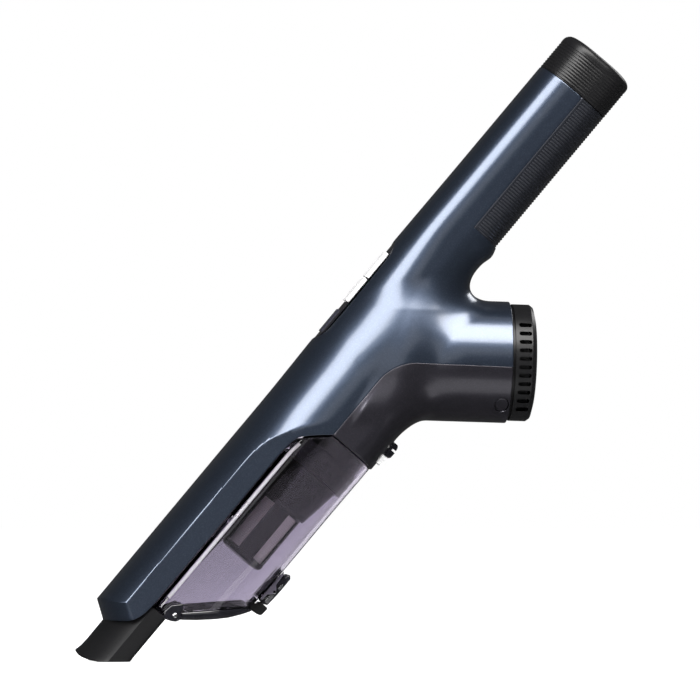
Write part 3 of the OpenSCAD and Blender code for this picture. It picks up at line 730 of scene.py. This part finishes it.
def rounded_loop(points, radius, steps=5):
    """A closed loop with each corner rounded."""
    p = np.array(points, float)
    out = []
    for i in range(len(p)):
        a, b, c = p[i - 1], p[i], p[(i + 1) % len(p)]
        ra = min(radius, 0.45 * np.linalg.norm(b - a))
        rc = min(radius, 0.45 * np.linalg.norm(c - b))
        s = b + (a - b) / np.linalg.norm(a - b) * ra
        e = b + (c - b) / np.linalg.norm(c - b) * rc
        for t in np.linspace(0, 1, steps):
            out.append((1 - t) ** 2 * s + 2 * t * (1 - t) * b + t * t * e)
    return np.array(out)


def nozzle_loop(inset):
    """The nozzle's section: a shallow bow in front, a flat back and small chamfers at the back's corners."""
    side, rear, corner = MOUTH_HALF - inset, NOZZLE_REAR - inset, 10.2 - inset / 2
    a = np.radians(np.linspace(90, 270, 41))
    t = math.pi + (a - math.pi) * (math.pi / 2 - BOW_EDGE) / (math.pi / 2)
    bow = np.stack([25.0 + (35.8 - inset) * np.cos(t), side / math.cos(BOW_EDGE) * np.sin(t)], 1)
    bow[:, 0] = np.minimum(bow[:, 0], BOW_REAR)
    corners = rounded_loop([[BOW_REAR, -side], [corner, -side], [rear, 1.4 - side], [rear, side - 1.4],
                            [corner, side], [BOW_REAR, side]], 0.5)[5:-5]
    return np.vstack([bow, [[6.5, -side]], corners, [[6.5, side]]])


def rim_height(x):
    """Height along the wand where the mouth's rim lies, with its raised front lip."""
    lip = np.interp(x, [-11.5, -10.8, -9.6, -7.5, -5, -2], [-2.3, -2.9, -3.2, -3.3, -2.6, -0.8])
    return np.maximum(x * CT / ST, lip)


def mouth_nozzle():
    outer, inner = nozzle_loop(0), nozzle_loop(NOZZLE_WALL)
    centre = np.array([1.0, 0.0])
    outward = outer - centre
    outward /= np.linalg.norm(outward, axis=1)[:, None]
    flare = FLARE * np.clip((BOW_REAR - outer[:, 0]) / 8, 0, 1)
    rim = rim_height(outer[:, 0])
    layers = [level(outer + outward * (0.7 * flare - 0.2)[:, None], rim)]
    for height, lost in ((0.25, 0.0), (1.2, 0.05), (2.4, 0.4), (4.5, 0.75), (8, FLARE)):
        layers.append(level(outer + outward * (flare * (1 - lost / FLARE))[:, None], rim + height))
    layers += [level(outer, np.maximum(rim + 8, 16.0)), level(outer, 24.0), level(outer, NOZZLE_TOP - 0.3),
               level(outer + (centre - outer) * 0.012, NOZZLE_TOP), level(inner, NOZZLE_TOP),
               level(inner, 20.0), level(inner, rim_height(inner[:, 0]) + 1.6),
               level(inner + (outer - inner) * 0.45, rim + 0.05)]
    verts = to_part(np.concatenate(layers))
    verts[:, 2] = np.maximum(verts[:, 2], 0)
    faces = ring_faces(len(layers), len(outer), looped=True)
    make_piece("mouth_nozzle", verts, faces, "main", "black_satin", ["nozzle"], sharp=24, placed=True)


mouth_nozzle()

# ------------------------------------------------------------------ clear cup
# z, rear, half width, power
CUP = smooth_columns([[38.4, 39.9, 23.6, 2.3], [66, 41.9, 24.4, 2.3], [80, 42.5, 25.0, 2.3],
                      [96, 42.9, 25.4, 2.4], [130, 42.9, 25.8, 2.4], [160.2, 43.2, 26.0, 2.4]], 5)
CUP_FLOOR, CUP_TOP, CUP_WALL = 38.4, 160.2, 1.8
CUP_FRONT, CUP_MIDDLE = 3.0, 14.0
CORNER_X, CORNER_Y = 6.2, 3.2
PIN_AT = (13.8, 41.6)
DOOR_TILT = math.radians(44)


def door_point(a, b):
    """A point a along the door from the hinge pin and b into the cup."""
    c, s = math.cos(DOOR_TILT), math.sin(DOOR_TILT)
    return PIN_AT[0] + a * c - b * s, PIN_AT[1] + a * s + b * c


def cup_loop(z, inset=0.0):
    """Rear half a superellipse, straight sides, and a flat front with round corners."""
    rear, half, p = (np.interp(z, FINE_Z, c) for c in CUP)
    a = np.linspace(0, math.pi / 2, 25)
    turn = np.linspace(0, math.pi / 2, 17)
    corner = CUP_FRONT + CORNER_X
    x = np.concatenate([CUP_MIDDLE + (rear - CUP_MIDDLE) * np.cos(a) ** (2 / p),
                        np.linspace(CUP_MIDDLE, corner, 5)[1:-1], corner - CORNER_X * np.sin(turn),
                        np.full(9, CUP_FRONT)])
    y = np.concatenate([half * np.sin(a) ** (2 / p), np.full(3, half),
                        half - CORNER_Y + CORNER_Y * np.cos(turn),
                        (half - CORNER_Y) * (1 - (np.arange(9) + 1) / 9)])
    d = np.hypot(x - CUP_MIDDLE, y)
    x, y = x - (x - CUP_MIDDLE) / d * inset, y - y / d * inset
    return np.column_stack([np.concatenate([x, x[1:-1][::-1]]), np.concatenate([y, -y[1:-1][::-1]])])


HINGE_CUT = [door_point(a, b) for a, b in ((-0.5, -3.0), (2.0, -2.4), (4.0, 0), (4.0, 1.15))]
CUP_OUTLINE = np.vstack([[[2, 37], [11.5, 37]], HINGE_CUT, [door_point(60, 1.15)],
                         [[70, CUP_TOP], [18.6, CUP_TOP]], (ARCH + [0.75, -0.75])[::-1], [[2, 139]]])


def cup_field(P):
    inlet = np.minimum(9 - np.abs(P[:, 1]), 6.5 - np.abs(P[:, 2] - 90.5))
    hole = np.where(P[:, 0] < CUP_FRONT + 1.5, inlet, OUTSIDE)
    return np.maximum(polygon_distance(CUP_OUTLINE, P[:, 0], P[:, 2]), hole)


def clear_cup():
    rounding = CUP_FLOOR + np.array([0, 0.3, 0.9, 1.8])
    zs = np.concatenate([rounding, np.arange(41.5, 160, 1.6), [CUP_TOP]])
    insets = np.interp(zs, rounding, [1.4, 0.7, 0.25, 0])
    layers = [level(cup_loop(z, inset), z) for z, inset in zip(zs, insets)]
    n = len(layers[0])
    V = np.vstack(layers + [[[9, 0, CUP_FLOOR]]])
    tris = []
    for a, b, c, d in ring_faces(len(zs), n):
        tris += [[a, b, c], [a, c, d]]
    tris += [[(j + 1) % n, j, len(V) - 1] for j in range(n)]
    V, T = insert_line(V, np.array(tris), cup_field(V) + 0.02)
    g = cup_field(V)
    V, T = compact(V, T[(g[T].mean(1) < -0.01) & (g[T].max(1) < 0.15)])
    piece = make_piece("clear_cup", V, T, "cup", "smoke_clear", ["dust_cup"], sharp=40)
    solidify(piece, CUP_WALL)


clear_cup()


# ------------------------------------------------------------------ door, hinge and latch
def loft(name, loops, body, slot, replaces=(), sharp=40, look=None):
    """Closed loft through loops of equal length; the ends are closed with fans."""
    loops = [np.asarray(loop, float) for loop in loops]
    n = len(loops[0])
    V = np.vstack([*loops, loops[0].mean(0), loops[-1].mean(0)])
    F = ring_faces(len(loops), n)
    last = (len(loops) - 1) * n
    for j in range(n):
        k = (j + 1) % n
        F.append([k, j, len(V) - 2])
        F.append([last + j, last + k, len(V) - 1])
    make_piece(name, V, F, body, slot, replaces, look and [look], sharp=sharp)


def plate(name, profile, y0, y1, body, slot, width=0.3, replaces=(), look=None):
    """A side profile given width across the wand, with bevelled edges."""
    p = np.array(profile, float)
    n = len(p)
    V = np.vstack([np.column_stack([p[:, 0], np.full(n, y), p[:, 1]]) for y in (y0, y1)])
    F = [list(range(n)), [n + i for i in range(n)][::-1]]
    F += [[i, n + i, n + (i + 1) % n, (i + 1) % n] for i in range(n)]
    piece = make_piece(name, V, F, body, slot, replaces, look and [look], sharp=35)
    bevel(piece, width, 3, 25)


def bars(name, places, radius, half, body, slot, steps=24, replaces=(), dome=0.35):
    """Round bars across the wand with slightly domed ends, in one piece."""
    stations = [(-half, 0.001), (-half, 0.62), (-half + dome * 0.3, 0.88), (-half + dome, 1.0),
                (half - dome, 1.0), (half - dome * 0.3, 0.88), (half, 0.62), (half, 0.001)]
    V, F = [], []
    for x, z in places:
        start = len(V)
        F += [[start + i for i in face] for face in ring_faces(len(stations), steps)]
        for y, k in stations:
            V += [[x + radius * k * math.cos(t), y, z + radius * k * math.sin(t)] for t in circle(steps)]
    make_piece(name, V, F, body, slot, replaces, sharp=50)


def door_space(a, y, b):
    x, z = door_point(a, b)
    return np.column_stack([x, y, z])


def door_half(a):
    """Half the cup's width where the door meets it."""
    x, z = door_point(a, 0.8)
    rear, half, p = (np.interp(z, FINE_Z, c) for c in CUP)
    u = np.clip((x - CUP_MIDDLE) / (rear - CUP_MIDDLE), 0, 1)
    return half * np.maximum(1 - u ** p, 0) ** (1 / p)


def bin_door():
    """The door: a plug inside the cup's edge, a seam line and a bowed outer face."""
    start = 3.1
    reach = np.linspace(start, 46, 4000)
    end = reach[door_half(reach) > 0.4].max()
    along = start + (end - start) * np.sin(np.linspace(0, math.pi / 2, 40)) ** 0.9
    a = np.concatenate([along, along[::-1]])
    side = np.repeat([1, -1], len(along))
    y = side * door_half(a)
    seam = np.interp(a, [3, 6.3, 16.6, 30, 36, 39, 43.3], [1.0, 1.0, 0.95, 0.9, 1.0, 1.1, 1.2])
    bottom = np.interp(a, [3, 3.6, 12, 20.8, 27.7, 34.4, 40.2, 44],
                       [-2.7, -2.84, -3.6, -3.86, -3.63, -2.5, -1.2, -0.4])

    def layer(inset, b, shrink=1.0):
        width = side * np.maximum(np.abs(y) - inset, 0.05) * shrink
        return door_space(np.clip(a, start + inset * 0.6, end - inset * 0.8), width, b)

    plug = np.clip(a, 6.2, end - 3.4)
    layers = [door_space(plug - 0.16 * b, side * np.maximum(door_half(plug) - inset, 0.3), b)
              for inset, b in ((6.5, 4.4), (4.6, 4.3), (3.7, 3.8), (3.4, 3.0), (3.3, 1.35))]
    rim = seam - 0.35
    layers += [layer(0.5, seam), layer(0.12, seam - 0.1), layer(0.0, rim)]
    for f in (0.995, 0.97, 0.92, 0.84, 0.72, 0.55, 0.3, 0.06):
        layers.append(layer((1 - f) * 0.4, rim - (rim - bottom) * np.sqrt(1 - f ** 4), f))
    loft("bin_door", layers, "door", "black_gloss", ["cup_door"], sharp=35)


def door_fittings():
    """The tab that the latch holds, and the knuckle on the hinge pin."""
    tab = [[40, 68.7], [43.3, 69.0], [47.6, 69.5], [48.3, 70.1], [48.6, 74.2], [48.1, 74.8], [43.5, 74.9],
           [43.1, 74.2], [43.1, 73.2], [40, 71]]
    plate("door_tab", tab, -6, 6, "door", "black_satin", 0.35)
    bars("door_knuckle", [PIN_AT], 2.6, 8.0, "door", "black_satin", 40)
    web = [door_point(a, b) for a, b in ((0.5, -2.5), (4.6, -2.7), (4.6, 0.6), (2.4, 0.6))]
    plate("knuckle_web", web, -8, 8, "door", "black_satin", 0.2)


def hinge():
    """The cup's hinge ears beside the knuckle, the outer cheeks and the pin through them all."""
    ear = [door_point(a, b) for a, b in (
        (-4.6, -0.2), (-3.2, -1.8), (-1.6, -2.5), (0.4, -2.8), (2.0, -2.1), (2.8, -0.6), (2.8, 1.6),
        (4.6, 4.6), (4.0, 6.4), (-0.5, 5.6), (-4.2, 2.6))]
    cheek = [door_point(a, b) for a, b in (
        (-5.6, -0.4), (-4.6, -1.6), (-1.6, -2.8), (0.4, -3.1), (2.2, -2.5), (2.9, -0.8), (3.0, 1.4),
        (4.6, 3.2), (4.4, 5.4), (-1.5, 5.2), (-5.2, 2.4))]
    for k, (y0, y1) in enumerate(((-14.9, -8.6), (8.6, 14.9))):
        plate("hinge_ear_%d" % k, ear, y0, y1, "cup", "smoke_clear", 0.5, look="dark_clear")
    for k, side in enumerate((-1, 1)):
        plate("hinge_cheek_%d" % k, cheek, side * 22.6, side * 24.0, "cup", "smoke_clear", 0.4,
              look="black_gloss")
    bars("hinge_pin", [PIN_AT], 1.25, 24.5, "cup", "steel", 32, ["door_hinge_pin"])


def latch():
    """Two cheeks with steel inlays, rungs and a web between them, and a round thumb bar. The steel inlays,
    and the steel of the rungs, are painted reflections on the glossy latch.
    """
    cheek = catmull([[43.0, 75.7], [46.9, 75.5], [47.5, 78], [47.8, 83], [47.9, 88], [47.75, 92.3],
                     [46.8, 94.3], [45.2, 94.0], [44.4, 91.5], [44.2, 88], [43.7, 85], [43.2, 81.5],
                     [42.9, 78.5]], 4, True)
    # steel plates on the cheeks' outer faces: painted reflections
    glint_plates = ([[43.3, 76.3], [43.75, 76.3], [44.1, 83], [43.7, 83]],
              [[45.1, 76.3], [46.8, 76.3], [47.1, 81.6], [45.4, 81.6]],
              [[44.3, 77.2], [44.8, 77.2], [44.9, 79.0], [44.4, 79.0]],
              [[44.4, 80.4], [44.9, 80.4], [45.0, 82.0], [44.5, 82.0]],
              [[46.0, 85.4], [47.2, 85.4], [47.3, 88.2], [46.3, 88.2]])
    web = [[45.6, 76.4], [46.2, 76.4], [46.6, 84], [46.6, 92], [46.0, 92], [45.8, 84]]
    ear = [[42.2, 75.6], [43.3, 76.2], [43.7, 80], [45.6, 81.6], [46.4, 83], [45.6, 84.6], [44.0, 86.4],
           [43.7, 92.5], [42.6, 94]]
    for k, (y0, y1, outer) in enumerate(((-6.5, -4.9, -6.5), (4.9, 6.5, 6.5))):
        plate("latch_cheek_%d" % k, cheek, y0, y1, "latch", "black_gloss", 0.3)
        side = math.copysign(1, outer)
        for j, glint_plate in enumerate(glint_plates):
            plate("latch_glint_plate_%d_%d" % (k, j), glint_plate, outer - side * 0.2, outer + side * 0.12, "latch",
                  "button_silver", 0.05, look="steel")
    # real bars between the cheeks, whose steel finish is a painted reflection
    glint_rungs = [(46.9, 77.2), (46.9, 80.4), (47.0, 86.4), (47.0, 89.0)]
    bars("latch_glint_rungs", glint_rungs, 0.75, 5.0, "latch", "steel", 16)
    plate("latch_web", web, -5.2, 5.2, "latch", "black_gloss", 0.15, ["door_latch"])
    for k, (y0, y1) in enumerate(((-8.8, -7.0), (7.0, 8.8))):
        plate("latch_ear_%d" % k, ear, y0, y1, "cup", "smoke_clear", 0.3, look="dark_clear")
    bars("latch_thumb", [(46.5, 92.5)], 1.4, 6.9, "latch", "black_gloss", 28)
    bars("latch_pivot", [(45.6, 83.0)], 1.2, 8.8, "cup", "steel", 24, ["latch_pin"])


def cup_release():
    """A black thumb piece with a light line across it, a painted highlight, over a light slide."""
    thumb = [[43, 170.9], [46.7, 170.9], [47.4, 171.7], [47.5, 174.5], [47.1, 177.6], [46.2, 178.9],
             [43, 178.9]]
    slide = [[43, 165.7], [46.2, 165.7], [46.8, 166.4], [47.0, 170.7], [43, 170.7]]
    # light strip across the thumb: a painted highlight on the black gloss
    highlight_line = [[45.2, 174.9], [47.65, 174.9], [47.6, 175.9], [45.2, 175.9]]
    plate("release_thumb", thumb, -7.5, 7.5, "cup_release", "black_gloss", 0.5, ["release_button"])
    plate("release_slide", slide, -7.3, 7.3, "cup_release", "button_silver", 0.4)
    plate("release_highlight_line", highlight_line, -7.62, 7.62, "cup_release", "button_silver", 0.1)


bin_door()
door_fittings()
hinge()
latch()
cup_release()


# ------------------------------------------------------------------ dark ring as painted shade in the exhaust's slots, painted highlight strips on the cup, and shroud
def exhaust_slot_shade():
    """Dark ring seen through the exhaust's slots, a painted shade that keeps their insides dark."""
    turn = circle(72)
    rings = []
    for d, r in ((-1.5, 25.2), (-0.9, 25.8), (7.6, 25.8), (8.2, 25.2)):
        h = r * np.cos(turn)
        rings.append(np.column_stack([MOTOR_AT[0] + d * MS + h * MC, r * np.sin(turn),
                                      MOTOR_AT[1] + d * MC - h * MS]))
    loft("exhaust_slot_shade", rings, "main", "seal_rubber", sharp=60)


def corner_y(x, z):
    """Half the cup's width at its rounded front corner."""
    half = np.interp(z, FINE_Z, CUP[1])
    c = np.sqrt(np.maximum(1 - ((CUP_FRONT + CORNER_X - x) / CORNER_X) ** 2, 0))
    return half - CORNER_Y + CORNER_Y * c


def cup_corner_highlights():
    """Pale strips along the cup's front corners, a painted highlight where the corner's rounding catches the
    key light; they bend back under the arch.
    """
    for k, side in enumerate((-1, 1)):
        loops = []
        for z in np.linspace(46.5, 147, 60):
            x = np.array([4.7, 4.9, 5.5, 6.1, 6.4, 6.55]) + max(0, (z - 141) * 0.12)
            out = corner_y(x, z) + np.array([0.02, 0.14, 0.16, 0.16, 0.14, 0.02])
            section = np.column_stack([np.concatenate([x, x[::-1]]),
                                       side * np.concatenate([out, corner_y(x[::-1], z) - 0.25])])
            loops.append(level(section, z))
        # the strips' pale half-clear plastic is a painted highlight
        loft("cup_corner_highlight_%d" % k, loops, "cup", "smoke_clear", look="clear_edge")


SHROUD_X = 21.6


def shroud_foot():
    """Rounded foot of the shroud."""
    turn = circle(64)
    foot = [level(np.column_stack([SHROUD_X + r * np.cos(turn), r * np.sin(turn)]), z)
            for r, z in ((7.5, 85.6), (9.8, 85.7), (11.1, 86.1), (11.9, 86.9), (12.2, 87.9), (12.2, 89.0))]
    loft("shroud_foot", foot, "cup", "shroud_plastic", sharp=60)


def fine_screen():
    """The perforated screen, as a wire net round the shroud."""
    r, wires = 10.3, 64
    ring = np.column_stack([SHROUD_X + r * np.cos(circle(wires)), r * np.sin(circle(wires))])
    layers = [level(ring, z) for z in np.linspace(88.8, 118.0, 29)]
    piece = make_piece("fine_screen", np.concatenate(layers), ring_faces(len(layers), wires), "cup",
                       "mesh_steel", ["mesh_screen"])
    net = piece.modifiers.new("holes", "WIREFRAME")
    net.thickness = 0.62 * MM
    net.offset = 0
    net.use_even_offset = False


exhaust_slot_shade()
cup_corner_highlights()
shroud_foot()
fine_screen()


# ------------------------------------------------------------------ stage, lights, camera
def stage_material():
    m = bpy.data.materials.new("pale_floor")
    m.use_nodes = True
    n, l = m.node_tree.nodes, m.node_tree.links
    shader = n["Principled BSDF"]
    noise = n.new("ShaderNodeTexNoise")
    noise.inputs["Scale"].default_value = 6
    ramp = n.new("ShaderNodeValToRGB")
    ramp.color_ramp.elements[0].color = (0.56, 0.56, 0.56, 1)
    ramp.color_ramp.elements[1].color = (0.58, 0.58, 0.58, 1)
    l.new(noise.outputs["Fac"], ramp.inputs["Fac"])
    l.new(ramp.outputs["Color"], shader.inputs["Base Color"])
    shader.inputs["Roughness"].default_value = 0.9
    shader.inputs["Specular IOR Level"].default_value = 0.1
    shader.inputs["Emission Color"].default_value = (1, 1, 1, 1)
    shader.inputs["Emission Strength"].default_value = 1.0
    return m


def stage():
    disc = bmesh.new()
    bmesh.ops.create_circle(disc, cap_ends=True, segments=96, radius=4.0)
    mesh = bpy.data.meshes.new("floor")
    disc.to_mesh(mesh)
    disc.free()
    mesh.materials.append(stage_material())
    floor = bpy.data.objects.new("floor", mesh)
    floor.location = (0.12, 0, -0.0004)
    bpy.context.scene.collection.objects.link(floor)
    floor.visible_glossy = False
    floor.visible_shadow = False


def studio_world():
    """White to the eye, and nearly dark to reflections and diffuse light."""
    world = bpy.data.worlds.new("studio")
    bpy.context.scene.world = world
    world.use_nodes = True
    n, l = world.node_tree.nodes, world.node_tree.links
    background = n["Background"]
    background.inputs[0].default_value = (1, 1, 1, 1)
    path = n.new("ShaderNodeLightPath")
    lit = n.new("ShaderNodeMath")
    lit.operation = "MAXIMUM"
    l.new(path.outputs["Is Glossy Ray"], lit.inputs[0])
    l.new(path.outputs["Is Diffuse Ray"], lit.inputs[1])
    strength = n.new("ShaderNodeMapRange")
    strength.inputs["To Min"].default_value = 1.0
    strength.inputs["To Max"].default_value = 0.05
    l.new(lit.outputs[0], strength.inputs["Value"])
    l.new(strength.outputs[0], background.inputs[1])


def area(name, direction, reach, long_axis, size, size_y, power, colour=(1, 1, 1)):
    """A soft box seen from the object's middle in that direction, its long side along long_axis."""
    data = bpy.data.lights.new(name, "AREA")
    data.shape = "RECTANGLE"
    data.size, data.size_y = size, size_y
    data.energy = power
    data.color = colour
    lamp = bpy.data.objects.new(name, data)
    bpy.context.scene.collection.objects.link(lamp)
    z = Vector(direction).normalized()
    x = Vector(long_axis)
    x = (x - z * x.dot(z)).normalized()
    turn = Matrix((x, z.cross(x), z)).transposed().to_4x4()
    turn.translation = (cad_box[0] + cad_box[1]) / 2 + z * reach
    lamp.matrix_world = turn
    lamp.visible_camera = False


def lights():
    wand, across, upright = (CT, 0, ST), (0, 1, 0), (1, 0, 0)
    area("key", (-0.54, -0.70, 0.46), 1.5, wand, 1.8, 0.80, 46)
    area("overhead", (0.22, -0.56, 0.81), 1.3, upright, 0.9, 0.85, 30, (1.0, 0.985, 0.965))
    area("front_fill", (-0.10, -1, 0.13), 2.4, wand, 2.0, 0.60, 3.0)
    area("bounce", (0.10, -0.66, -0.72), 1.2, upright, 1.1, 0.6, 2.2)
    area("rear_rim", (0.7, 0.6, 0.5), 1.5, across, 0.6, 0.6, 5)


YAW = math.radians(-5.5)
VIEW_MM, LENS, SENSOR = 350.0, 560.0, 36.0
LOOK = Vector((0.1215, 0, 0.15525))


def camera():
    """A long lens, square to the object but for a small turn, that takes in VIEW_MM."""
    distance = VIEW_MM * MM / 2 / (SENSOR / 2 / LENS)
    back = Vector((math.sin(YAW), -math.cos(YAW), 0))
    data = bpy.data.cameras.new("view")
    data.lens = LENS
    data.sensor_width = SENSOR
    data.clip_end = 50
    cam = bpy.data.objects.new("view", data)
    cam.location = LOOK + back * distance
    cam.rotation_mode = "QUATERNION"
    cam.rotation_quaternion = (-back).to_track_quat("-Z", "Y")
    bpy.context.scene.collection.objects.link(cam)
    bpy.context.scene.camera = cam
    bpy.context.scene.view_settings.view_transform = "Standard"


stage()
studio_world()
lights()
camera()
